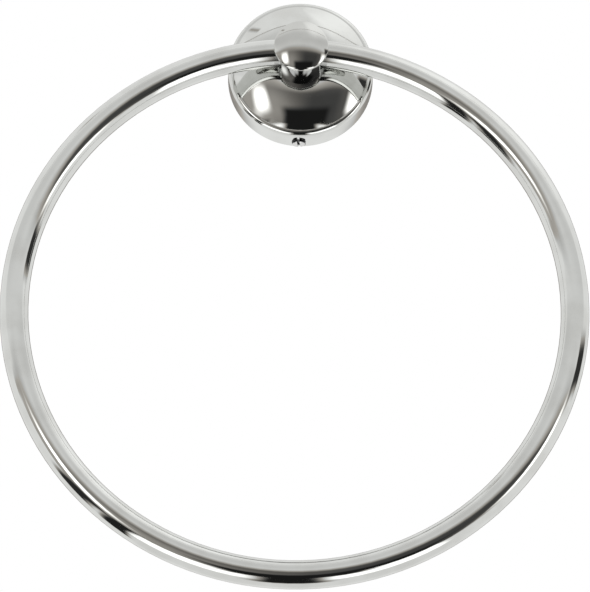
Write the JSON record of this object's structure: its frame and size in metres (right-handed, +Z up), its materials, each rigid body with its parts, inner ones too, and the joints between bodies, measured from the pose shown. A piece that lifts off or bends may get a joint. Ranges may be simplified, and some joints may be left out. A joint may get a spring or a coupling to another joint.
{
  "type": "towel ring",
  "caption": "Wall towel ring: a round tube ring that swings in the cross bore of a crowned post, on a domed round rose that hides a bracket and is held by a grub screw.",
  "frame": {"origin": "middle of the rose's back, on the wall", "axes": "+Y into the wall, the post points along -Y, +Z up, the ring hangs along -Z"},
  "size_m": [0.206, 0.0329, 0.2268],
  "materials": {
    "bright_plate": "polished chrome plate",
    "screw_steel": "zinc-plated steel",
    "bracket_zinc": "bare zinc casting"
  },
  "bodies": {
    "holder": {"rose": "bright_plate", "post": "bright_plate", "post_screw": "screw_steel", "post_washer": "screw_steel", "grub_screw": "screw_steel", "wall_bracket": "bracket_zinc"},
    "swing_ring": {"ring": "bright_plate"}
  },
  "joints": [
    {"name": "ring_swing", "type": "hinge", "parent": "holder", "child": "swing_ring", "pos_m": [0, -0.0231, 0], "axis": [-1, 0, 0], "range_deg": [-5, 185]}
  ]
}
